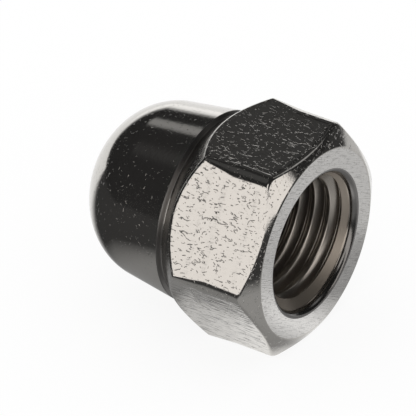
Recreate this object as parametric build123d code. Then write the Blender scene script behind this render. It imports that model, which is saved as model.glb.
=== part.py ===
from build123d import *
from math import cos, radians, sin, tan
import os

# Hexagon dome nut, high form, for an M16 coarse thread.
# It lies on one of its flats. The thread's axis is X, and the open end faces +X.
# The origin is the centre of the bearing face. Lengths are millimetres, angles degrees.

# Thread: the bore is plain here, at the diameter of the thread's crests
thread_diameter = 16.0
thread_pitch = 2.0
crest_depth_per_pitch = 0.5413

# Hexagon: its corners are sharp at the back and forged rounder towards the open end
across_flats = 24.0
flat_length = 11.9
corner_radius_front = 1.4
corner_radius_middle = 1.75
corner_radius_back = 0.4
corner_middle_from_face = 6.0
corner_back_from_flat_end = 1.7

# Chamfers and bearing face
bearing_step = 0.8
front_chamfer_angle = 30.0
back_chamfer_angle = 48.0
chamfer_edge_radius = 0.5
bearing_edge_radius = 0.2

# Dome, with a groove between its foot and the hexagon
overall_height = 27.7
dome_step = 0.85
dome_wall_length = 6.4
dome_draft_angle = 8.4
crown_fullness = 0.76
foot_rise = 0.35
groove_depth = 0.5
foot_edge_radius = 0.2
groove_radius = 0.2

# Mouth of the bore: a rounded lip, then the countersink
mouth_clearance = 0.75
lip_clearance = 0.15
lip_depth = 0.42
countersink_angle = 100.0
lip_edge_radius = 0.25

# Blind end of the bore: a punched hole, with a turned relief behind the end of the thread
punch_point_angle = 150.0
crown_wall = 2.6
relief_clearance = 0.25
relief_length = 6.5
relief_from_bore_end = 2.0
relief_side_angle = 30.0

# How far the bodies that shape the nut stand past it
overrun = 2.0

flat_radius = across_flats / 2
corner_reach = flat_radius / cos(radians(30)) + overrun
bearing_radius = flat_radius - bearing_step
foot_radius = flat_radius - dome_step
minor_radius = thread_diameter / 2 - crest_depth_per_pitch * thread_pitch


def rounded_hexagon(corner_radius):
    """Section of the hexagon, with corners on +Y and -Y and a flat below."""
    hexagon = RegularPolygon(flat_radius, 6, major_radius=False)
    return fillet(hexagon.vertices(), corner_radius)


def forged_hexagon():
    """The hexagon, longer than the nut at both ends, with corners that change along it."""
    stations = [
        (overrun, corner_radius_front),
        (-corner_middle_from_face, corner_radius_middle),
        (corner_back_from_flat_end - flat_length, corner_radius_back),
        (-overall_height - overrun, corner_radius_back),
    ]
    sections = [Plane.YZ.offset(x) * rounded_hexagon(radius) for x, radius in stations]
    return loft(sections, ruled=True)


def hexagon_end_outline():
    """Half outline from the bearing face over both chamfers to the bottom of the groove."""
    front_slope = tan(radians(front_chamfer_angle))
    back_slope = tan(radians(back_chamfer_angle))
    floor_radius = foot_radius - groove_depth
    return [
        Vector(0, 0),
        Vector(0, bearing_radius),
        Vector((bearing_radius - corner_reach) * front_slope, corner_reach),
        Vector((corner_reach - flat_radius) * back_slope - flat_length, corner_reach),
        Vector((floor_radius - flat_radius) * back_slope - flat_length, floor_radius),
    ]


def dome_outline(foot):
    """Half outline of the dome: a drafted wall and a full, tangent crown that ends on the axis."""
    draft = tan(radians(dome_draft_angle))
    wall_end = foot - Vector(dome_wall_length, dome_wall_length * draft)
    crown_height = overall_height + wall_end.X
    shoulder = wall_end - Vector(crown_height, crown_height * draft)
    tip = Vector(-overall_height, 0)
    wall = Line(foot, wall_end)
    crown = Bezier(wall_end, shoulder, tip, weights=[1, crown_fullness, 1])
    return [wall, crown, Line(tip, Vector(0, 0))]


def round_corner(outline, corner, radius):
    """Round the corner of a flat outline that lies nearest to a point."""
    return fillet(outline.vertices().sort_by_distance(corner)[0], radius)


def turned_envelope():
    """All that is round about the axis: bearing face, chamfers, groove and dome."""
    ends = hexagon_end_outline()
    face_edge = ends[1]
    groove = ends[-1]
    foot = groove + Vector(-foot_rise, groove_depth)
    outline = make_face([Polyline(*ends, foot), *dome_outline(foot)])
    outline = round_corner(outline, face_edge, bearing_edge_radius)
    outline = round_corner(outline, groove, groove_radius)
    outline = round_corner(outline, foot, foot_edge_radius)
    return revolve(outline, Axis.X)


def chamfer_edges(body):
    """The scalloped edges where the two chamfers cut the flats and the corners."""
    cones = body.faces().filter_by(GeomType.CONE).sort_by(Axis.X)
    edges = [edge for chamfer in cones[-2:] for edge in chamfer.edges()]
    return [edge for edge in edges if edge.geom_type not in (GeomType.LINE, GeomType.CIRCLE)]


def relief_outline(bore_end):
    """Outline of the thread relief, a wider stretch of the bore ahead of its blind end."""
    relief_radius = thread_diameter / 2 + relief_clearance
    side = (relief_radius - minor_radius) * tan(radians(relief_side_angle))
    relief_end = bore_end + relief_from_bore_end
    relief_start = relief_end + relief_length
    return [
        (relief_start, minor_radius),
        (relief_start - side, relief_radius),
        (relief_end + side, relief_radius),
        (relief_end, minor_radius),
    ]


def bore():
    """The blind bore at the thread's minor diameter, with its lip, countersink and relief."""
    thread_radius = thread_diameter / 2
    lip_radius = thread_radius + lip_clearance
    mouth_radius = thread_radius + mouth_clearance
    cone_length = (lip_radius - minor_radius) / tan(radians(countersink_angle / 2))
    tip = crown_wall - overall_height
    bore_end = tip + minor_radius / tan(radians(punch_point_angle / 2))
    corners = [
        (overrun, 0),
        (overrun, mouth_radius),
        (0, mouth_radius),
        (-lip_depth, lip_radius),
        (-lip_depth - cone_length, minor_radius),
        *relief_outline(bore_end),
        (bore_end, minor_radius),
        (tip, 0),
    ]
    return revolve(make_face(Polyline(*corners, close=True)), Axis.X)


def dome_nut():
    """The nut: the hexagon trimmed by the turned envelope, with its edges rounded, then bored."""
    body = forged_hexagon() & turned_envelope()
    body = fillet(chamfer_edges(body), chamfer_edge_radius)
    body = body - bore()
    mouth_edge = Vector(0, thread_diameter / 2 + mouth_clearance)
    return fillet(body.edges().sort_by_distance(mouth_edge)[0], lip_edge_radius)


os.makedirs("parts", exist_ok=True)
nut = dome_nut()
nut.label = "dome_nut"
export_step(nut, "parts/dome_nut.step")
print("dome_nut volume", round(nut.volume, 1), "centre of mass", nut.center(CenterOf.MASS))
print("box", nut.bounding_box())
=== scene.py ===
from math import atan2, cos, hypot, pi, radians, sin, tan
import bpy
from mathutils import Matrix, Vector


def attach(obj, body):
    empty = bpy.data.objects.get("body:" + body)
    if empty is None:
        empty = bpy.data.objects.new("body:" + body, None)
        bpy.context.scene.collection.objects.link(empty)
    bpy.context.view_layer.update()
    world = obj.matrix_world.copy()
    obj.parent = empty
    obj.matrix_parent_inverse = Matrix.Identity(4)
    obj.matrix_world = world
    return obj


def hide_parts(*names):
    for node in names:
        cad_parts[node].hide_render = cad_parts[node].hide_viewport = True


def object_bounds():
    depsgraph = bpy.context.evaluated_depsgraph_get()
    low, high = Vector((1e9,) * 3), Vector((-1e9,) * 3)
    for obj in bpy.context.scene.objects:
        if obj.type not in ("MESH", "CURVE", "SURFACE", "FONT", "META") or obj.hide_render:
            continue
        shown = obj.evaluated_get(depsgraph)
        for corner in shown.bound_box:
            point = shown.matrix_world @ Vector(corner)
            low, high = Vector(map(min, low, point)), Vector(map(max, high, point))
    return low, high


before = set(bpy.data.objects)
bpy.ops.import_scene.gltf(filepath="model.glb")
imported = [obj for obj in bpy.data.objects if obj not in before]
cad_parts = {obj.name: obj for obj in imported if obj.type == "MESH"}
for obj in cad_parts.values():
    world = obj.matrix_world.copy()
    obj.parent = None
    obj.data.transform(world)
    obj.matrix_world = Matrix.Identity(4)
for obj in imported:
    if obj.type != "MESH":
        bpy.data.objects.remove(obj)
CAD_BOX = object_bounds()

from types import SimpleNamespace

import bpy
from mathutils import Vector

bl_info = {
    "name": "Hexagon dome nut",
    "version": (1, 0, 0),
    "blender": (4, 5, 0),
    "location": "3D View > Sidebar > Dome nut",
    "description": "Models a bright forged hexagon dome nut with a cut thread, and its studio",
    "category": "Add Mesh",
}

NUT = "hexagon_dome_nut"
CAD_NODE = "dome_nut"

# The nut is modelled with one unit to the millimetre and scaled down at the end,
# because Blender's merge distances and Booleans are made for sizes like that.
MILLIMETRE = 0.001

# The solid's height and its width across flats, to the nearest thousandth of a millimetre
CAD_HEIGHT, _, CAD_ACROSS_FLATS = (
    round((high - low) / MILLIMETRE, 3) for low, high in zip(*CAD_BOX)
)

# Merge distances, in millimetres: for one body, for the seams of the cuts,
# for the points along a scalloped edge, and for a folded tip at a back corner
MERGE = 0.0005
SEAM = 0.001
EDGE_POINTS = 0.05
FOLDED_TIP = 0.02

# How far a cutting body stands past the nut: just clear of the bearing face, or well past it
CLEAR = 0.004
OVERRUN = 2.0

# A thread's depth from crest to root over its pitch, and half its flank angle
THREAD_DEPTH_PER_PITCH = 0.5413
HALF_FLANK = radians(30)

# The six flats face these three directions and their opposites, from +Z towards +Y
FLAT_TURNS = (0, 60, 120)
HALF_CORNER = radians(30)

# The faces of the true flats: how squarely they face their way, and their least distance
# from the axis
TRUE_FLAT = 0.99999
TRUE_FLAT_FROM_AXIS = 11.9

# The points of the folded tips: their distance from the back corners along X, and from the axis
TIP_NEAR = 0.06
TIP_FROM_AXIS = 13.0

# Where each finish lies: distances from the bearing face along X, and from the axis
GROUND_FROM_AXIS = 8.7
BORE_TO_AXIS = 8.9
THREAD_BORE_TO = -21.0
BLIND_END_TO = -26.0
GROOVE_SIDE = (-13.85, -13.2)
DOME_FROM = -13.3
FLATS_FROM_AXIS = 11.5

# And which way its faces look: how much along +X or out from the axis, and how squarely
# the same way as a flat
LOOKS_AHEAD = 0.999
LOOKS_SLIGHTLY_AHEAD = 0.05
LOOKS_INWARD = 0.02
LOOKS_LEVEL = 0.06
LOOKS_WITH_FLAT = 0.9983

FINISHES = ("flats", "corners", "dome", "ground face", "bore", "groove")

# The upright light panels in front of the nut, which it mirrors: the azimuth that each one
# faces, those of its left and right ends, and its height over its distance
FRONT_PANELS = (
    {"facing": -62, "left": -124, "right": -5, "top": 0.56},
    {"facing": -85, "left": -124, "right": -40, "top": 0.66},
    {"facing": -20, "left": -62, "right": 25, "top": 0.38},
)

# Half the softness of a panel's upper edge, its foot and its sides, in the same terms as its
# height, and the least share of a ray ahead, so that nothing behind a panel is lit
PANEL_EDGE = 0.03
PANEL_FOOT = 0.05
PANEL_SIDE = 0.04
NOT_BEHIND = 0.001

# Round patches of light: azimuth and elevation, the angles within which a patch is full and
# past which it is gone, and its brightness. The first one widens the panels.
PANEL_PATCH = {"azimuth": -60, "elevation": 46, "inner": 12, "outer": 18, "brightness": 1.0}
BACKDROP_PATCH = {"azimuth": 119, "elevation": -37, "inner": 43, "outer": 55}
FILL_PATCHES = (
    {"azimuth": 142, "elevation": 37.5, "inner": 3, "outer": 8, "brightness": 0.32},
    {"azimuth": 58, "elevation": 43, "inner": 7, "outer": 16, "brightness": 0.42},
    {"azimuth": 120, "elevation": 42, "inner": 10, "outer": 20, "brightness": 0.05},
    {"azimuth": 199, "elevation": 61, "inner": 10, "outer": 22, "brightness": 0.065},
)
DARK_STUDIO = 0.02

# What the nut mirrors of the sheet that it lies on: light and shade painted by place, not cast by
# lamps. Each stretch of painted light has soft edges: what is measured, where the edge starts and
# ends in millimetres, and the levels there.
# The centre of a painted shadow of the nut on the sheet, in millimetres
PAINTED_SHADOW_CENTRE = (5.0, 12.0, -12.0)
# A patch of painted shade that takes light off the sheet behind the nut
DIM_PATCH = (("y", -1.0, 5.0, 0.0, 0.46), ("x", -12.0, -2.0))
SHEET_BEHIND = (
    ("y", -9.0, 3.0),
    ("x", 36.0, 24.0),
    ("from painted shadow", 3.0, 9.0, 0.30, 1.0),
    ("y less x", -13.0, -6.0),
    ("x", -12.0, -2.0, 1.0, 1.18),
)
SHEET_BESIDE = (
    ("x", -17.0, -13.0),
    ("x", 1.0, -2.0),
    ("y", -12.2, -9.2),
    ("x", -14.0, -1.0, 0.70, 1.10),
)
SHEET_FRONT = (
    ("x", -34.0, -22.0),
    ("x", 30.0, 16.0),
    ("y", -42.0, -28.0, 0.04, 0.28),
    ("x", -5.0, 8.0, 1.0, 1.4),
)
SHEET_ELSEWHERE = 0.04
SHADOW_STRENGTH = 0.12


def linear(colour):
    """An sRGB hex colour as linear red, green, blue and alpha."""
    parts = [int(colour[i:i + 2], 16) / 255 for i in (1, 3, 5)]
    return [c / 12.92 if c <= 0.04045 else ((c + 0.055) / 1.055) ** 2.4 for c in parts] + [1.0]


def length(name, description, millimetres):
    """A length property, given in millimetres and shown in the scene's units."""
    return bpy.props.FloatProperty(
        name=name,
        description=description,
        default=millimetres * MILLIMETRE,
        subtype="DISTANCE",
        unit="LENGTH",
        precision=5,
    )


def angle(name, description, degrees):
    """An angle property, given in degrees."""
    return bpy.props.FloatProperty(
        name=name, description=description, default=radians(degrees), subtype="ANGLE"
    )


def number(name, description, value):
    """A plain number property."""
    return bpy.props.FloatProperty(name=name, description=description, default=value, precision=3)


def colour(name, description, value):
    """A colour property, given as an sRGB hex value."""
    return bpy.props.FloatVectorProperty(
        name=name, description=description, default=linear(value), subtype="COLOR", size=4,
        min=0.0, max=1.0,
    )


class NutSizes(bpy.types.PropertyGroup):
    """The nut's own sizes: the main ones are the solid's, and the small roundings are finer here."""

    across_flats: length("Width across flats", "From a flat to its opposite", CAD_ACROSS_FLATS)
    overall_height: length("Height", "From the bearing face to the dome's top", CAD_HEIGHT)
    flat_length: length("Length of flats", "Where the back chamfer meets the middle of a flat", 11.9)

    corner_front: length("Corner radius, front", "Rounding of the corners at the open end", 1.4)
    corner_middle: length("Corner radius, middle", "Largest rounding of the corners", 1.75)
    corner_back: length("Corner radius, back", "Rounding of the corners at the dome", 0.4)
    middle_depth: length("Roundest corners", "From the bearing face to that place", 6.0)
    back_lead: length("Sharp corners", "Where they start, ahead of the end of the flats", 1.7)

    front_chamfer: angle("Front chamfer", "Angle of the front chamfer to the bearing face", 30.0)
    back_chamfer: angle("Back chamfer", "Angle of the back chamfer to the bearing face", 48.0)
    chamfer_edge: length("Chamfer edge radius", "Rounding of the scalloped edges", 0.5)
    bearing_step: length("Bearing face step", "From the flats in to the bearing face", 0.8)
    bearing_edge: length("Bearing face edge", "Rounding of the bearing face's outer edge", 0.7)

    dome_step: length("Dome step", "From the flats in to the foot of the dome", 0.85)
    groove_depth: length("Groove depth", "From the dome's foot down to the groove's floor", 0.5)
    foot_rise: length("Dome foot", "From the groove's floor back to the dome's foot", 0.35)
    groove_radius: length("Groove radius", "Rounding of the groove and the dome's foot", 0.2)
    dome_wall: length("Dome wall", "Length of the drafted wall under the crown", 6.4)
    draft: angle("Dome draft", "Taper of the dome's wall", 8.4)
    crown_fullness: number("Crown fullness", "Weight of the crown's curve; 1 is fuller", 0.76)

    thread_diameter: length("Thread diameter", "Nominal diameter of the thread", 16.0)
    thread_pitch: length("Thread pitch", "Distance between the turns of the thread", 2.0)
    thread_start: length("Thread start", "Depth of the groove's middle on +Y", 1.86)
    crest_radius: length("Crest radius", "Rounding of the thread's crests", 0.2)
    root_radius: length("Root radius", "Rounding of the thread's roots", 0.1)

    mouth_clearance: length("Mouth clearance", "From the thread out to the bore's mouth", 0.17)
    lip_clearance: length("Lip clearance", "From the thread out to the end of the lip", 0.12)
    lip_depth: length("Lip depth", "From the bearing face to the countersink", 0.8)
    lip_radius: length("Lip radius", "Rounding of the bore's lip", 0.7)
    lip_end_radius: length("Lip end radius", "Rounding from the lip to the countersink", 0.35)
    countersink: angle("Countersink", "Whole angle of the countersink", 100.0)
    countersink_depth: length("Countersink depth", "From the lip to the cutter's end", 2.2)

    crown_wall: length("Crown wall", "From the bore's tip to the dome's top", 2.6)
    punch_point: angle("Punch point", "Whole angle of the point that ends the bore", 150.0)
    punch_edge: length("Punch edge", "Rounding round the punch's point", 0.6)
    relief_length: length("Relief length", "Length of the thread relief", 6.5)
    relief_clearance: length("Relief clearance", "From the thread out to the relief", 0.25)
    relief_end: length("Relief end", "From the relief to the punch's point", 2.0)
    relief_side: angle("Relief side", "Slope of the relief's sides", 30.0)
    relief_edge: length("Relief edge", "Rounding inside the relief", 0.3)
    relief_exit: length("Relief exit", "Rounding where the relief ends", 0.2)

    dish_rim: length("Rim of the upper flat", "Width of the sloping rim round its hollow", 0.22)
    dish_depth: length("Hollow of the upper flat", "How deep the die leaves it", 0.062)
    unevenness: length("Unevenness", "How deep the forged flats are uneven", 0.03)
    wave_length: length("Waves", "Size of the unevenness across a flat", 1.9)
    flat_grid: length("Grid of the flats", "Spacing of the cuts that let a flat be uneven", 0.4)


class NutFinish(bpy.types.PropertyGroup):
    """Colours and finish of the steel."""

    steel: colour("Steel", "The bright stainless steel", "#CBC8C3")
    # Painted shade: the streaks of the lower flats take this darker colour in place of mirrored
    # light and shade
    streak: colour("Streaks", "Drawing streaks on the lower flats", "#8B8986")
    # Painted shade: the groove's step takes this darker colour for the shade that falls in the
    # groove; its roughness is its unpolished finish
    groove: colour("Groove", "The side of the groove that isn't polished", "#6F6D6B")
    ground: colour("Ground steel", "The ground bearing face", "#DAD8D5")
    ground_dull: colour("Grinding lines", "The dull lines of the bearing face", "#A3A19F")
    bore: colour("Bore", "The cut steel of the countersink", "#A69D92")
    # Painted shade: the thread is the same steel, darker for the shade inside the bore
    thread: colour("Thread", "The oily steel of the thread", "#B5AFA7")
    # Painted shade: the lip's dark grey stands for the shade at the bore's mouth
    lip: colour("Lip", "The rolled lip of the bore", "#807E7C")
    forged_roughness: number("Forged roughness", "Roughness of the flats", 0.10)
    corner_roughness: number("Corner roughness", "Roughness of the corners and chamfers", 0.12)
    dome_roughness: number("Dome roughness", "Roughness of the dome", 0.12)
    groove_roughness: number("Groove roughness", "Roughness of the groove's side", 0.38)
    ground_roughness: number("Ground roughness", "Roughness of the bearing face", 0.20)
    bore_roughness: number("Bore roughness", "Roughness of the cleanest cuts in the bore", 0.18)


class StudioSizes(bpy.types.PropertyGroup):
    """The camera, the sheet and the light round the nut."""

    camera_place: bpy.props.FloatVectorProperty(
        name="Camera", description="Where the camera stands",
        default=(0.678943, -1.022137, 0.862803), subtype="TRANSLATION", unit="LENGTH",
    )
    camera_turn: bpy.props.FloatVectorProperty(
        name="Camera angles", description="How the camera is turned",
        default=[radians(degrees) for degrees in (55.0396, 1.0838, 33.3873)],
        subtype="EULER", unit="ROTATION",
    )
    lens: number("Lens", "Focal length in millimetres", 1175.66)
    sensor: number("Sensor", "Width of the sensor in millimetres", 36.0)
    sheet: length("Sheet", "Length of the sheet's sides", 3000.0)
    softbox: number("Front panels", "Brightness of the light panels in front", 1.22)
    backdrop: number("Backdrop", "Brightness of the backdrop in reflections", 1.3)
    sheet_light: number("Sheet light", "Brightness of the sheet in reflections", 1.0)
    white: colour("White", "The sheet, the background and the light", "#FFFFFF")
    warm: colour("Warm white", "The light of the front panels", "#FFFBF8")


def nut_sizes():
    """The nut's sizes by name, with lengths in millimetres and angles in radians."""
    group = bpy.context.scene.dome_nut_sizes
    sizes = SimpleNamespace()
    for name in NutSizes.__annotations__:
        is_length = group.bl_rna.properties[name].unit == "LENGTH"
        setattr(sizes, name, getattr(group, name) / (MILLIMETRE if is_length else 1.0))
    sizes.flat_radius = sizes.across_flats / 2
    sizes.major_radius = sizes.thread_diameter / 2
    sizes.minor_radius = sizes.major_radius - THREAD_DEPTH_PER_PITCH * sizes.thread_pitch
    return sizes


def deselect_all():
    """Leave edit mode and select nothing."""
    if bpy.context.object and bpy.context.object.mode == "EDIT":
        bpy.ops.object.mode_set(mode="OBJECT")
    bpy.ops.object.select_all(action="DESELECT")


def make_active(piece):
    """Select one piece and nothing else."""
    deselect_all()
    bpy.context.view_layer.objects.active = piece
    piece.select_set(True)


def edit(piece, select="DESELECT", kind="VERT"):
    """Open one piece in edit mode with all or nothing selected."""
    make_active(piece)
    bpy.ops.object.mode_set(mode="EDIT")
    bpy.ops.mesh.select_mode(type=kind)
    bpy.ops.mesh.select_all(action=select)


def edit_where(piece, kind, chosen):
    """Open one piece in edit mode with only the points or faces selected that are chosen."""
    edit(piece, "DESELECT", kind)
    close_edit()
    for part in piece.data.vertices if kind == "VERT" else piece.data.polygons:
        part.select = chosen(part)
    bpy.ops.object.mode_set(mode="EDIT")


def close_edit():
    """Back to object mode, with what edit mode did kept."""
    bpy.ops.object.mode_set(mode="OBJECT")


def tidy_surface(piece):
    """Merge doubles and turn all faces outwards."""
    edit(piece, "SELECT")
    bpy.ops.mesh.remove_doubles(threshold=MERGE)
    bpy.ops.mesh.normals_make_consistent(inside=False)
    close_edit()


def select_open_edges():
    """Select the edges round a piece's holes, in edit mode."""
    bpy.ops.mesh.select_all(action="DESELECT")
    bpy.ops.mesh.select_non_manifold(
        extend=False, use_wire=False, use_boundary=True,
        use_multi_face=False, use_non_contiguous=False, use_verts=False,
    )


def apply_modifier(piece, kind, **values):
    """Add a modifier with the given values and apply it."""
    make_active(piece)
    modifier = piece.modifiers.new(kind.lower(), kind)
    for key, value in values.items():
        setattr(modifier, key, value)
    bpy.ops.object.modifier_apply(modifier=modifier.name)


def combine(piece, tool, operation):
    """Cut a piece with a tool, or trim it to the tool, and remove the tool."""
    apply_modifier(piece, "BOOLEAN", operation=operation, object=tool, solver="EXACT")
    bpy.data.objects.remove(tool)
    if len(piece.data.polygons) == 0:
        raise RuntimeError("the Boolean left nothing of " + piece.name)


def line_piece(name, points):
    """A bent line through (x, radius) points in the XY half plane, extruded point by point."""
    deselect_all()
    bpy.ops.mesh.primitive_plane_add(size=1.0, location=(0, 0, 0))
    piece = bpy.context.object
    piece.name = name
    edit(piece, "SELECT")
    bpy.ops.mesh.merge(type="CENTER")
    bpy.ops.transform.translate(value=(points[0][0], points[0][1], 0))
    for (x, radius), (next_x, next_radius) in zip(points, points[1:]):
        bpy.ops.mesh.extrude_vertices_move(
            TRANSFORM_OT_translate={"value": (next_x - x, next_radius - radius, 0)}
        )
    close_edit()
    return piece


def turned_piece(name, points, steps):
    """A closed turned body: the line spun once round the X axis."""
    piece = line_piece(name, points)
    edit(piece, "SELECT")
    bpy.ops.mesh.spin(steps=steps, angle=2 * pi, center=(0, 0, 0), axis=(1, 0, 0))
    close_edit()
    tidy_surface(piece)
    return piece


def rounded(points, radii, step):
    """The (x, radius) points with corners rounded in steps of an angle; radii is {index: radius}."""
    line = []
    for i, point in enumerate(points):
        if i not in radii:
            line.append(point)
            continue
        corner = Vector(point)
        before = (Vector(points[i - 1]) - corner).normalized()
        after = (Vector(points[i + 1]) - corner).normalized()
        half = before.angle(after) / 2
        reach = radii[i] / tan(half)
        centre = corner + (before + after).normalized() * (radii[i] / sin(half))
        first = corner + before * reach - centre
        turn = first.angle_signed(corner + after * reach - centre)
        count = max(2, round(abs(turn) / step))
        start = atan2(first.y, first.x)
        for k in range(count + 1):
            at = start - turn * k / count
            line.append((centre.x + radii[i] * cos(at), centre.y + radii[i] * sin(at)))
    return line


def crown_points(start, control, end, weight, count=48):
    """Points along the crown, a conic curve."""
    points = []
    for k in range(1, count + 1):
        t = k / count
        shares = ((1 - t) ** 2, 2 * t * (1 - t) * weight, t * t)
        points.append(tuple(
            sum(share * value for share, value in zip(shares, values)) / sum(shares)
            for values in zip(start, control, end)
        ))
    return points


def hexagon_ring(x, flat_radius, corner_radius):
    """One section of the hexagon at x, a six-sided ring with rounded corners."""
    deselect_all()
    bpy.ops.mesh.primitive_circle_add(
        vertices=6,
        radius=flat_radius / cos(HALF_CORNER),
        fill_type="NGON",
        location=(x, 0, 0),
        rotation=(0, pi / 2, 0),
    )
    ring = bpy.context.object
    edit(ring, "SELECT")
    bpy.ops.mesh.bevel(
        offset=corner_radius * tan(HALF_CORNER), segments=8, profile=0.5, affect="VERTICES"
    )
    bpy.ops.mesh.delete(type="ONLY_FACE")
    close_edit()
    return ring


def forged_hexagon(sizes):
    """The hexagon blank: rings whose corners grow rounder towards the front, bridged."""
    front = (OVERRUN, sizes.corner_front)
    middle = (-sizes.middle_depth, sizes.corner_middle)
    back = (sizes.back_lead - sizes.flat_length, sizes.corner_back)
    end = (-sizes.overall_height - OVERRUN, sizes.corner_back)
    stations = [
        front,
        ((front[0] + middle[0]) / 2, (front[1] + middle[1]) / 2),
        middle,
        ((middle[0] + back[0]) / 2, (middle[1] + back[1]) / 2),
        back,
        end,
    ]
    rings = [hexagon_ring(x, sizes.flat_radius, radius) for x, radius in stations]
    blank = rings[0]
    make_active(blank)
    for ring in rings:
        ring.select_set(True)
    bpy.ops.object.join()
    bpy.ops.object.transform_apply(location=True, rotation=True, scale=True)
    edit(blank, "SELECT", "EDGE")
    bpy.ops.mesh.bridge_edge_loops()
    select_open_edges()
    bpy.ops.mesh.edge_face_add()
    close_edit()
    tidy_surface(blank)
    return blank


def turned_envelope(sizes, steps=192):
    """All that is round about the axis outside: chamfers, groove, dome wall and crown."""
    front_slope = tan(sizes.front_chamfer)
    back_slope = tan(sizes.back_chamfer)
    draft = tan(sizes.draft)
    bearing = sizes.flat_radius - sizes.bearing_step
    foot = sizes.flat_radius - sizes.dome_step
    reach = sizes.flat_radius / cos(HALF_CORNER) + OVERRUN
    groove_floor = foot - sizes.groove_depth
    groove = (groove_floor - sizes.flat_radius) * back_slope - sizes.flat_length
    foot_x = groove - sizes.foot_rise
    wall_end = (foot_x - sizes.dome_wall, foot - sizes.dome_wall * draft)
    tip = (-sizes.overall_height, 0.0)
    shoulder = (tip[0], wall_end[1] + (tip[0] - wall_end[0]) * draft)
    outline = [
        (0.0, 0.0),
        (0.0, bearing),
        ((bearing - reach) * front_slope, reach),
        ((reach - sizes.flat_radius) * back_slope - sizes.flat_length, reach),
        (groove, groove_floor),
        (foot_x, foot),
        wall_end,
    ]
    radii = {1: sizes.bearing_edge, 4: sizes.groove_radius, 5: sizes.groove_radius}
    outline = rounded(outline, radii, step=radians(8))
    outline += crown_points(wall_end, shoulder, tip, sizes.crown_fullness)
    return turned_piece("envelope", outline, steps)


def round_scallops(blank, sizes, sharp=radians(28)):
    """Round the sharp scalloped edges where the two chamfers cut the flats and corners."""
    middle = -sizes.flat_length / 2
    for side, chamfer in ((1, sizes.front_chamfer), (-1, sizes.back_chamfer)):
        turn = radians(90) - chamfer
        edit(blank, "DESELECT", "EDGE")
        bpy.ops.mesh.edges_select_sharp(sharpness=sharp)
        bpy.ops.mesh.remove_doubles(threshold=EDGE_POINTS)
        bpy.ops.mesh.edges_select_sharp(sharpness=sharp)
        close_edit()
        for edge in blank.data.edges:
            start, end = (blank.data.vertices[i].co.x for i in edge.vertices)
            if (start + end) / 2 * side < middle * side:
                edge.select = False
        bpy.ops.object.mode_set(mode="EDIT")
        bpy.ops.mesh.bevel(
            offset=sizes.chamfer_edge * tan(turn / 2), segments=5, profile=0.5, affect="EDGES",
            clamp_overlap=False,
        )
        close_edit()


def mouth_tool(sizes, steps=192, top=3.0, collar=0.8):
    """Cuts the rounded lip and the countersink; a collar keeps it clear of the bearing face."""
    mouth = sizes.major_radius + sizes.mouth_clearance
    lip = sizes.major_radius + sizes.lip_clearance
    cone = sizes.countersink_depth
    outline = [
        (top, 0.0),
        (top, mouth + collar),
        (CLEAR, mouth + collar),
        (CLEAR, mouth),
        (-sizes.lip_depth, lip),
        (-sizes.lip_depth - cone, lip - cone * tan(sizes.countersink / 2)),
        (-sizes.lip_depth - cone, 0.0),
    ]
    radii = {3: sizes.lip_radius, 4: sizes.lip_end_radius}
    return turned_piece("mouth_tool", rounded(outline, radii, step=radians(6)), steps)


def blind_end_tool(sizes, steps=128, neck=0.4):
    """Cuts the thread relief and the punched blind end; it starts on a neck inside the thread."""
    relief = sizes.major_radius + sizes.relief_clearance
    minor = sizes.minor_radius
    tip = sizes.crown_wall - sizes.overall_height
    end = tip + minor / tan(sizes.punch_point / 2)
    stop = end + sizes.relief_end
    start = stop + sizes.relief_length
    side = tan(sizes.relief_side)
    outline = [
        (start + neck * side, 0.0),
        (start + neck * side, minor - neck),
        (start - (relief - minor) * side, relief),
        (stop + (relief - minor) * side, relief),
        (stop, minor),
        (end, minor),
        (tip, 0.0),
    ]
    radii = {2: sizes.relief_edge, 3: sizes.relief_edge, 4: sizes.relief_exit, 5: sizes.punch_edge}
    return turned_piece("blind_end_tool", rounded(outline, radii, step=radians(11)), steps)


def thread_tool(sizes, steps=144, turns=10, turns_behind=8):
    """Cuts the right-hand thread: one pitch of its section, screwed along the axis and capped."""
    pitch = sizes.thread_pitch
    major = sizes.major_radius
    minor = sizes.minor_radius
    half_crest = pitch / 8
    flank = (major - minor) * tan(HALF_FLANK)
    start = -sizes.thread_start - turns_behind * pitch - pitch / 2
    end = start + pitch
    outline = [
        (start, minor),
        (start + half_crest, minor),
        (start + half_crest + flank, major),
        (end - half_crest - flank, major),
        (end - half_crest, minor),
        (end, minor),
    ]
    crest, root = sizes.crest_radius, sizes.root_radius
    outline = rounded(outline, {1: crest, 2: root, 3: root, 4: crest}, step=radians(16))
    tool = line_piece("thread_tool", outline)
    apply_modifier(
        tool, "SCREW", axis="X", angle=2 * pi, screw_offset=pitch, iterations=turns,
        steps=steps, render_steps=steps, use_merge_vertices=True, merge_threshold=MERGE,
    )
    edit(tool, "SELECT", "EDGE")
    bpy.ops.mesh.remove_doubles(threshold=MERGE)
    select_open_edges()
    bpy.ops.mesh.extrude_edges_move(TRANSFORM_OT_translate={"value": (0, 0, 0)})
    bpy.ops.mesh.merge(type="COLLAPSE")
    close_edit()
    tidy_surface(tool)
    return tool


def facing_flat(normal):
    """How squarely a direction faces one of the six flats, 1 at most."""
    turns = (radians(turn) for turn in FLAT_TURNS)
    return max(abs(normal.y * sin(turn) + normal.z * cos(turn)) for turn in turns)


def on_flat(polygon):
    """Whether a face belongs to one of the six flats."""
    outside = hypot(*polygon.center.yz) > TRUE_FLAT_FROM_AXIS
    return outside and facing_flat(polygon.normal) > TRUE_FLAT


def dish_upper_flat(nut, sizes):
    """Press the upper flat in a little inside a sloping rim, as the die leaves it."""
    edit_where(nut, "FACE", lambda polygon: on_flat(polygon) and polygon.normal.z > TRUE_FLAT)
    bpy.ops.mesh.dissolve_faces()
    bpy.ops.mesh.inset(
        thickness=sizes.dish_rim, depth=-sizes.dish_depth,
        use_boundary=True, use_even_offset=False,
    )
    close_edit()


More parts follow.
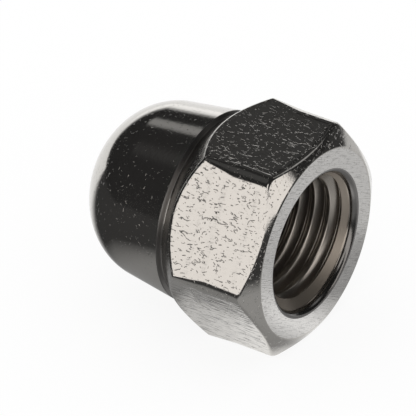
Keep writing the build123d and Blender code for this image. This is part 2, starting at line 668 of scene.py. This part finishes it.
def cut_flats(nut, sizes):
    """Cut the flats into a grid, so that the forged surface can be uneven in the mesh itself."""
    spacing = sizes.flat_grid
    half_steps = int(sizes.flat_radius * tan(HALF_CORNER) / spacing)
    long_steps = int(sizes.flat_length / spacing)
    for turn in map(radians, FLAT_TURNS):
        facing = Vector((0, sin(turn), cos(turn)))
        across = Vector((0, cos(turn), -sin(turn)))
        along = Vector((1, 0, 0))
        cuts = [(across * (spacing * k), across) for k in range(-half_steps, half_steps + 1)]
        cuts += [(along * (-spacing * (k + 0.5)), along) for k in range(long_steps)]
        edit_where(nut, "FACE", lambda polygon: abs(polygon.normal.dot(facing)) > TRUE_FLAT)
        bpy.ops.mesh.hide(unselected=True)
        for point, normal in cuts:
            bpy.ops.mesh.select_all(action="SELECT")
            bpy.ops.mesh.bisect(plane_co=point, plane_no=normal, threshold=MERGE)
        bpy.ops.mesh.reveal(select=False)
        close_edit()


def forge_uneven(nut, sizes, whole_area=0.09):
    """Press the inside of each flat in by a few hundredths of a millimetre, as forging leaves it.

    Only the points that whole faces of the grid alone share move, so that the edges stay true.
    """
    inner = nut.vertex_groups.new(name="flat_insides")
    flat = set()
    other = set()
    for polygon in nut.data.polygons:
        whole = on_flat(polygon) and polygon.area > whole_area
        (flat if whole else other).update(polygon.vertices)
    inner.add(sorted(flat - other), 1.0, "REPLACE")
    waves = bpy.data.textures.new("forging_waves", "CLOUDS")
    waves.noise_scale = sizes.wave_length
    waves.noise_depth = 2
    apply_modifier(
        nut, "DISPLACE", texture=waves, texture_coords="LOCAL", direction="NORMAL",
        mid_level=1.0, strength=sizes.unevenness, vertex_group="flat_insides",
    )
    nut.vertex_groups.clear()


def close_seams(nut, sizes):
    """Merge the doubles that the cuts leave, and the folded tips at the hexagon's back corners."""
    edit(nut, "SELECT")
    bpy.ops.mesh.remove_doubles(threshold=SEAM)
    close_edit()
    tip = sizes.back_lead - sizes.flat_length
    edit_where(
        nut, "VERT",
        lambda point: abs(point.co.x - tip) < TIP_NEAR and hypot(*point.co.yz) > TIP_FROM_AXIS,
    )
    bpy.ops.mesh.remove_doubles(threshold=FOLDED_TIP)
    bpy.ops.mesh.select_all(action="SELECT")
    bpy.ops.mesh.dissolve_degenerate(threshold=SEAM)
    close_edit()


def finish_of(polygon):
    """Which finish a face has, by its place and the way it faces."""
    x = polygon.center.x
    radius = hypot(*polygon.center.yz)
    normal = polygon.normal
    outward = normal.yz.dot(polygon.center.yz) / max(radius, MERGE)
    if x > -CLEAR and radius > GROUND_FROM_AXIS and normal.x > LOOKS_AHEAD:
        return "ground face"
    in_blind_end = x > BLIND_END_TO and outward < LOOKS_INWARD
    if radius < BORE_TO_AXIS and (x > THREAD_BORE_TO or in_blind_end):
        return "bore"
    if GROOVE_SIDE[0] < x < GROOVE_SIDE[1] and normal.x > LOOKS_SLIGHTLY_AHEAD:
        return "groove"
    if x < DOME_FROM:
        return "dome"
    level = abs(normal.x) < LOOKS_LEVEL and facing_flat(normal) > LOOKS_WITH_FLAT
    if radius > FLATS_FROM_AXIS and level:
        return "flats"
    return "corners"


def finish_surface(nut, smooth_up_to=radians(32)):
    """Scale to real size, and shade each face smoothly up to the edges that are cut sharp."""
    make_active(nut)
    nut.scale = (MILLIMETRE, MILLIMETRE, MILLIMETRE)
    bpy.ops.object.transform_apply(location=True, rotation=True, scale=True)
    bpy.ops.object.shade_smooth_by_angle(angle=smooth_up_to)
    apply_modifier(nut, "WEIGHTED_NORMAL", mode="FACE_AREA", weight=50, keep_sharp=True)


def add(tree, kind, inputs=(), **settings):
    """Add one node with its settings and its inputs: values, or nodes and sockets to link."""
    node = tree.nodes.new("ShaderNode" + kind)
    for key, value in settings.items():
        setattr(node, key, value)
    for socket, value in dict(inputs).items():
        if isinstance(value, bpy.types.Node):
            value = next(output for output in value.outputs if output.enabled)
        if isinstance(value, bpy.types.NodeSocket):
            tree.links.new(value, node.inputs[socket])
        else:
            node.inputs[socket].default_value = value
    return node


def within(tree, *edges):
    """The product of soft edges, each a value, its start and end, and the levels there."""
    product = None
    for value, start, end, *levels in edges:
        low, high = levels or (0.0, 1.0)
        edge = add(
            tree, "MapRange",
            {"Value": value, "From Min": start, "From Max": end, "To Min": low, "To Max": high},
            interpolation_type="SMOOTHSTEP",
        )
        if product is None:
            product = edge
        else:
            product = add(tree, "Math", {0: product, 1: edge}, operation="MULTIPLY")
    return product


def greatest(tree, values):
    """The greatest of several patterns at each place."""
    result = values[0]
    for value in values[1:]:
        result = add(tree, "Math", {0: result, 1: value}, operation="MAXIMUM")
    return result


def millimetres(tree, feature=(1, 1, 1), turn=0.0):
    """The place on the piece, turned about X, in features of so many millimetres each way.

    With features of 1 mm, a noise's Scale is its number of features to the millimetre.
    """
    place = add(tree, "TexCoord").outputs["Object"]
    turned = add(tree, "Mapping", {"Vector": place, "Rotation": (turn, 0, 0)})
    scale = [1 / (MILLIMETRE * size) for size in feature]
    return add(tree, "Mapping", {"Vector": turned, "Scale": scale})


def scratches(tree, place, per_mm, width, share, shift):
    """Short curved lines: the middle contour of one noise, kept where another is high."""
    line = add(
        tree, "TexNoise",
        {"Vector": place, "Scale": per_mm, "Detail": 0.0, "Roughness": 0.4, "Distortion": 0.6},
    )
    off_line = add(tree, "Math", {0: line, 1: 0.5}, operation="SUBTRACT")
    off_line = add(tree, "Math", {0: off_line}, operation="ABSOLUTE")
    moved = add(tree, "VectorMath", {0: place, 1: shift}, operation="ADD")
    kept = add(tree, "TexNoise", {"Vector": moved, "Scale": per_mm * 2.5, "Detail": 0.0})
    return within(tree, (off_line, width, width * 0.25), (kept, share, share + 0.04))


def steel_material(name, steel, roughness):
    """A bare steel material with its node tree and its shader."""
    material = bpy.data.materials.new(name)
    material.use_nodes = True
    tree = material.node_tree
    tree.nodes.clear()
    shader = add(
        tree, "BsdfPrincipled", {"Base Color": steel, "Metallic": 1.0, "Roughness": roughness}
    )
    add(tree, "OutputMaterial", {"Surface": shader})
    return material, tree, shader


def give_relief(tree, shader, *layers):
    """Lay patterns over each other as relief, each a height from 0 to 1 and millimetres deep."""
    normal = None
    for height, depth in layers:
        inputs = {"Height": height, "Strength": 1.0, "Distance": depth * MILLIMETRE}
        if normal is not None:
            inputs["Normal"] = normal
        normal = add(tree, "Bump", inputs)
    tree.links.new(normal.outputs[0], shader.inputs["Normal"])


def forged_flat_steel(finish):
    """Stainless steel, cold forged and polished."""
    # The eye sees a mirror, bright or black with what it faces, that fine pits and scratches
    # break up and that ripples along the flow of the metal. The real pits are hundredths of a
    # millimetre wide; these are drawn several times as coarse, or they wouldn't show.
    material, tree, shader = steel_material(
        "forged_stainless_flats", finish.steel, finish.forged_roughness
    )
    place = millimetres(tree)
    flow = millimetres(tree, feature=(1.7, 0.9, 0.9))
    pits = greatest(tree, [
        scratches(tree, flow, per_mm=0.9, width=0.028, share=0.60, shift=(31.0, 7.0, 3.0)),
        scratches(tree, flow, per_mm=1.6, width=0.05, share=0.59, shift=(5.0, 11.0, 2.0)),
    ])
    smooth = add(tree, "Math", {0: 1.0, 1: pits}, operation="SUBTRACT")
    ripples = millimetres(tree, feature=(1.6, 0.32, 0.32))
    ripples = add(tree, "TexNoise", {"Vector": ripples, "Scale": 1.0, "Detail": 1.0})
    grain = add(tree, "TexNoise", {"Vector": place, "Scale": 4.0, "Detail": 1.0})
    give_relief(tree, shader, (ripples, 0.028), (grain, 0.003), (smooth, 0.03))

    # The lower flats have painted shade in dull streaks along them, darker towards the bottom, in
    # place of the streaky reflections of the real flats; the streaks are coarser here than the real
    # ones
    streaks = millimetres(tree, feature=(1.5, 0.22, 0.22))
    streaks = add(tree, "TexNoise", {"Vector": streaks, "Scale": 1.0, "Detail": 1.0})
    height = add(tree, "SeparateXYZ", {0: place}).outputs["Z"]
    painted_streak_mask = within(tree, (height, -0.5, -3.0), (streaks, 0.52, 0.66))
    tint = add(
        tree, "Mix", {"Factor": painted_streak_mask, "A": finish.steel, "B": finish.streak}, data_type="RGBA"
    )
    tree.links.new(tint.outputs["Result"], shader.inputs["Base Color"])
    worn = add(
        tree, "Math", {0: pits, 1: 0.12, 2: finish.forged_roughness}, operation="MULTIPLY_ADD"
    )
    tree.links.new(worn.outputs[0], shader.inputs["Roughness"])
    return material


def corner_steel(finish):
    """The same steel, pulled over the die's corners."""
    # The eye sees a smoother mirror than on the flats, with faint marks across it and fewer
    # pits. Marks and pits are coarser than the real ones, so that they show.
    material, tree, shader = steel_material(
        "drawn_stainless_corners", finish.steel, finish.corner_roughness
    )
    place = millimetres(tree)
    marks = millimetres(tree, feature=(0.25, 1.2, 1.2))
    marks = add(tree, "TexNoise", {"Vector": marks, "Scale": 1.0, "Detail": 1.0})
    grain = add(tree, "TexNoise", {"Vector": place, "Scale": 4.0, "Detail": 1.0})
    pits = scratches(tree, place, per_mm=1.3, width=0.05, share=0.56, shift=(9.0, 4.0, 6.0))
    smooth = add(tree, "Math", {0: 1.0, 1: pits}, operation="SUBTRACT")
    give_relief(tree, shader, (marks, 0.008), (grain, 0.004), (smooth, 0.03))
    return material


def dome_steel(finish):
    """Stainless steel, cold forged and polished finer than the flats."""
    # The eye sees a clean dark mirror with a faint grain and a few bright specks, which are
    # drawn coarser than the real ones.
    material, tree, shader = steel_material(
        "polished_stainless_dome", finish.steel, finish.dome_roughness
    )
    place = millimetres(tree)
    grain = add(tree, "TexNoise", {"Vector": place, "Scale": 2.2, "Detail": 2.0})
    specks = scratches(tree, place, per_mm=1.3, width=0.05, share=0.66, shift=(3.0, 1.0, 8.0))
    smooth = add(tree, "Math", {0: 1.0, 1: specks}, operation="SUBTRACT")
    give_relief(tree, shader, (grain, 0.006), (smooth, 0.012))
    return material


def painted_shade_groove_steel(finish):
    """Stainless steel as forged, where polishing doesn't reach, in a darker colour that is painted
    shade.
    """
    # The eye sees a dark, dull line round the nut: dull from its rough finish, dark from painted
    # shade.
    material, tree, shader = steel_material(
        "painted_shade_rough_groove", finish.groove, finish.groove_roughness
    )
    grain = add(tree, "TexNoise", {"Vector": millimetres(tree), "Scale": 4.0, "Detail": 1.0})
    give_relief(tree, shader, (grain, 0.006))
    return material


def ground_steel(finish):
    """Stainless steel, surface ground."""
    # The eye sees an even grey face with straight fine lines that spread the light, and a few
    # small pits. The lines are about 0.1 mm wide here, coarser than the grit's, so that they show.
    material, tree, shader = steel_material(
        "ground_stainless_face", finish.ground, finish.ground_roughness
    )
    place = millimetres(tree, feature=(1.0, 1.6, 0.12), turn=radians(30))
    lines = add(
        tree, "TexNoise", {"Vector": place, "Scale": 1.0, "Detail": 2.0, "Roughness": 0.6}
    )
    specks = add(tree, "TexNoise", {"Vector": millimetres(tree), "Scale": 3.2, "Detail": 0.0})
    tint = add(
        tree, "Mix",
        {"Factor": within(tree, (lines, 0.46, 0.74, 0.0, 0.7)), "A": finish.ground,
         "B": finish.ground_dull},
        data_type="RGBA",
    )
    tree.links.new(tint.outputs["Result"], shader.inputs["Base Color"])
    give_relief(tree, shader, (lines, 0.018), (within(tree, (specks, 0.27, 0.32)), 0.03))
    return material


def bore_steel(finish):
    """Stainless steel, turned and tapped, with cutting oil left on it."""
    # The eye sees a grey lip, a brown satin countersink with rings round the axis, and bright
    # brownish thread that dulls inwards. The lip's dark grey and the thread's colour, darker than
    # the outer steel, are painted shade in the bore.
    material, tree, shader = steel_material("cut_stainless_bore", finish.bore, finish.bore_roughness)
    place = millimetres(tree)
    rings = millimetres(tree, feature=(0.12, 2.5, 2.5))
    rings = add(tree, "TexNoise", {"Vector": rings, "Scale": 1.0, "Detail": 1.0})
    grain = add(tree, "TexNoise", {"Vector": place, "Scale": 3.0, "Detail": 1.0})
    give_relief(tree, shader, (rings, 0.004), (grain, 0.004))

    # The finish changes along the bore, at these depths in millimetres
    depth = add(tree, "SeparateXYZ", {0: place}).outputs["X"]
    lip = within(tree, (depth, -0.85, -0.7))
    cone = within(tree, (depth, -1.85, -1.6), (depth, -0.8, -0.95))
    thread = within(tree, (depth, -1.7, -2.1))
    dulling = within(tree, (depth, -1.9, -2.3, 0.0, 0.4))
    rough = add(
        tree, "Math", {0: greatest(tree, [cone, dulling]), 1: 0.26, 2: finish.bore_roughness},
        operation="MULTIPLY_ADD",
    )
    tree.links.new(rough.outputs[0], shader.inputs["Roughness"])
    # Painted shade: the thread and the lip take colours darker than the outer steel
    inside = add(
        tree, "Mix", {"Factor": thread, "A": finish.bore, "B": finish.thread}, data_type="RGBA"
    )
    tint = add(tree, "Mix", {"Factor": lip, "A": inside, "B": finish.lip}, data_type="RGBA")
    tree.links.new(tint.outputs["Result"], shader.inputs["Base Color"])
    return material


def direction(azimuth, elevation=0):
    """A unit vector: azimuth from +X towards +Y, elevation up from level, in degrees."""
    around = radians(azimuth)
    up = radians(elevation)
    return (cos(around) * cos(up), sin(around) * cos(up), sin(up))


def light_panel(tree, ray, facing, left, right, top):
    """The light of an upright panel that faces the nut: its upper and lower edges are straight."""
    ahead, past_left, past_right = (
        add(tree, "VectorMath", {0: ray, 1: direction(azimuth)}, operation="DOT_PRODUCT")
        for azimuth in (facing, left + 90, right - 90)
    )
    ahead = add(tree, "Math", {0: ahead, 1: NOT_BEHIND}, operation="MAXIMUM")
    height = add(tree, "SeparateXYZ", {0: ray}).outputs["Z"]
    rise = add(tree, "Math", {0: height, 1: ahead}, operation="DIVIDE")
    return within(
        tree,
        (rise, top + PANEL_EDGE, top - PANEL_EDGE),
        (rise, -PANEL_FOOT, PANEL_FOOT),
        (past_left, -PANEL_SIDE, PANEL_SIDE),
        (past_right, -PANEL_SIDE, PANEL_SIDE),
    )


def light_patch(tree, ray, azimuth, elevation, inner, outer, brightness):
    """The light of a soft round patch."""
    towards = add(
        tree, "VectorMath", {0: ray, 1: direction(azimuth, elevation)}, operation="DOT_PRODUCT"
    )
    return within(tree, (towards, cos(radians(outer)), cos(radians(inner)), 0.0, brightness))


def studio_world(studio):
    """White for the camera and the sheet, and a dark studio with light panels for reflections."""
    world = bpy.data.worlds.new("photo_studio")
    bpy.context.scene.world = world
    world.use_nodes = True
    tree = world.node_tree
    tree.nodes.clear()
    ray = add(tree, "TexCoord").outputs["Generated"]
    panels = [light_panel(tree, ray, **panel) for panel in FRONT_PANELS]
    panels = greatest(tree, [*panels, light_patch(tree, ray, **PANEL_PATCH)])
    light = greatest(tree, [
        add(tree, "Math", {0: panels, 1: studio.softbox}, operation="MULTIPLY"),
        light_patch(tree, ray, **BACKDROP_PATCH, brightness=studio.backdrop),
        *(light_patch(tree, ray, **patch) for patch in FILL_PATCHES),
        DARK_STUDIO,
    ])
    tint = add(
        tree, "Mix", {"Factor": panels, "A": studio.white, "B": studio.warm}, data_type="RGBA"
    )
    seen = add(tree, "Background", {"Color": studio.white, "Strength": 1.0})
    mirrored = add(tree, "Background", {"Color": tint, "Strength": light})
    glossy = add(tree, "LightPath").outputs["Is Glossy Ray"]
    mixed = add(tree, "MixShader", {0: glossy, 1: seen, 2: mirrored})
    add(tree, "OutputWorld", {"Surface": mixed})


def sheet_material(studio):
    """White paper: white to the camera with the nut's faint shadow, with painted light and shade in
    reflections.
    """
    # The eye sees a clean white ground. The steel mirrors it as a bright and dim sheet: light and
    # shade painted on it by place round the nut, with a painted shadow of the nut, not light that
    # lamps cast.
    material = bpy.data.materials.new("white_sheet")
    material.use_nodes = True
    tree = material.node_tree
    tree.nodes.clear()
    place = millimetres(tree)
    axes = add(tree, "SeparateXYZ", {0: place}).outputs
    measures = {
        "x": axes["X"],
        "y": axes["Y"],
        "y less x": add(tree, "Math", {0: axes["Y"], 1: axes["X"]}, operation="SUBTRACT"),
        "from painted shadow": add(
            tree, "VectorMath", {0: place, 1: PAINTED_SHADOW_CENTRE}, operation="DISTANCE"
        ),
    }
    dim, behind, beside, front = (
        within(tree, *((measures[measure], *edge) for measure, *edge in stretch))
        for stretch in (DIM_PATCH, SHEET_BEHIND, SHEET_BESIDE, SHEET_FRONT)
    )
    full = add(tree, "Math", {0: 1.0, 1: dim}, operation="SUBTRACT")
    behind = add(tree, "Math", {0: behind, 1: full}, operation="MULTIPLY")
    light = greatest(tree, [behind, beside, front, SHEET_ELSEWHERE])
    light = add(tree, "Math", {0: light, 1: studio.sheet_light}, operation="MULTIPLY")
    white = add(tree, "Emission", {"Color": studio.white, "Strength": 1.0})
    paper = add(tree, "BsdfDiffuse", {"Color": studio.white})
    seen = add(tree, "MixShader", {0: SHADOW_STRENGTH, 1: white, 2: paper})
    mirrored = add(tree, "Emission", {"Color": studio.white, "Strength": light})
    glossy = add(tree, "LightPath").outputs["Is Glossy Ray"]
    mixed = add(tree, "MixShader", {0: glossy, 1: seen, 2: mirrored})
    add(tree, "OutputMaterial", {"Surface": mixed})
    return material


class DOMENUT_OT_nut(bpy.types.Operator):
    """Forge, bore, tap and finish the dome nut"""

    bl_idname = "dome_nut.nut"
    bl_label = "Dome nut"
    bl_options = {"REGISTER", "UNDO"}

    def execute(self, context):
        sizes = nut_sizes()
        finish = context.scene.dome_nut_finish
        nut = forged_hexagon(sizes)
        combine(nut, turned_envelope(sizes), "INTERSECT")
        round_scallops(nut, sizes)
        dish_upper_flat(nut, sizes)
        cut_flats(nut, sizes)
        forge_uneven(nut, sizes)
        combine(nut, mouth_tool(sizes), "DIFFERENCE")
        combine(nut, blind_end_tool(sizes), "DIFFERENCE")
        combine(nut, thread_tool(sizes), "DIFFERENCE")
        close_seams(nut, sizes)
        nut.name = nut.data.name = NUT
        nut.data.materials.clear()
        for make_steel in (
            forged_flat_steel, corner_steel, dome_steel, ground_steel, bore_steel, painted_shade_groove_steel
        ):
            nut.data.materials.append(make_steel(finish))
        for polygon in nut.data.polygons:
            polygon.material_index = FINISHES.index(finish_of(polygon))
        finish_surface(nut)
        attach(nut, "root")
        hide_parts(CAD_NODE)
        return {"FINISHED"}


class DOMENUT_OT_studio(bpy.types.Operator):
    """Set out the white sheet, the studio light and the camera"""

    bl_idname = "dome_nut.studio"
    bl_label = "Studio"
    bl_options = {"REGISTER", "UNDO"}

    def execute(self, context):
        under_nut = (0, 0, -context.scene.dome_nut_sizes.across_flats / 2)
        studio = context.scene.dome_nut_studio
        deselect_all()
        bpy.ops.mesh.primitive_plane_add(size=studio.sheet, location=under_nut)
        table = context.object
        table.name = "table"
        bpy.ops.object.transform_apply(location=True, rotation=True, scale=True)
        table.data.materials.append(sheet_material(studio))
        studio_world(studio)
        deselect_all()
        bpy.ops.object.camera_add(location=studio.camera_place, rotation=studio.camera_turn)
        camera = context.object
        camera.name = "photo_camera"
        camera.data.sensor_width = studio.sensor
        camera.data.lens = studio.lens
        context.scene.camera = camera
        context.scene.view_settings.view_transform = "Standard"
        return {"FINISHED"}


class DOMENUT_PT_panel(bpy.types.Panel):
    """Lists the nut's and the studio's operators and settings"""

    bl_idname = "DOMENUT_PT_panel"
    bl_label = "Dome nut"
    bl_space_type = "VIEW_3D"
    bl_region_type = "UI"
    bl_category = "Dome nut"

    def draw(self, context):
        scene = context.scene
        for operator, groups in (
            ("dome_nut.nut", (scene.dome_nut_sizes, scene.dome_nut_finish)),
            ("dome_nut.studio", (scene.dome_nut_studio,)),
        ):
            box = self.layout.box()
            box.operator(operator)
            for group in groups:
                for key in group.__annotations__:
                    box.prop(group, key)


CLASSES = (NutSizes, NutFinish, StudioSizes, DOMENUT_OT_nut, DOMENUT_OT_studio, DOMENUT_PT_panel)


def register():
    for item in CLASSES:
        bpy.utils.register_class(item)
    bpy.types.Scene.dome_nut_sizes = bpy.props.PointerProperty(type=NutSizes)
    bpy.types.Scene.dome_nut_finish = bpy.props.PointerProperty(type=NutFinish)
    bpy.types.Scene.dome_nut_studio = bpy.props.PointerProperty(type=StudioSizes)


def unregister():
    del bpy.types.Scene.dome_nut_studio
    del bpy.types.Scene.dome_nut_finish
    del bpy.types.Scene.dome_nut_sizes
    for item in reversed(CLASSES):
        bpy.utils.unregister_class(item)


def main():
    register()
    bpy.ops.dome_nut.nut()
    bpy.ops.dome_nut.studio()


if __name__ == "__main__":
    main()
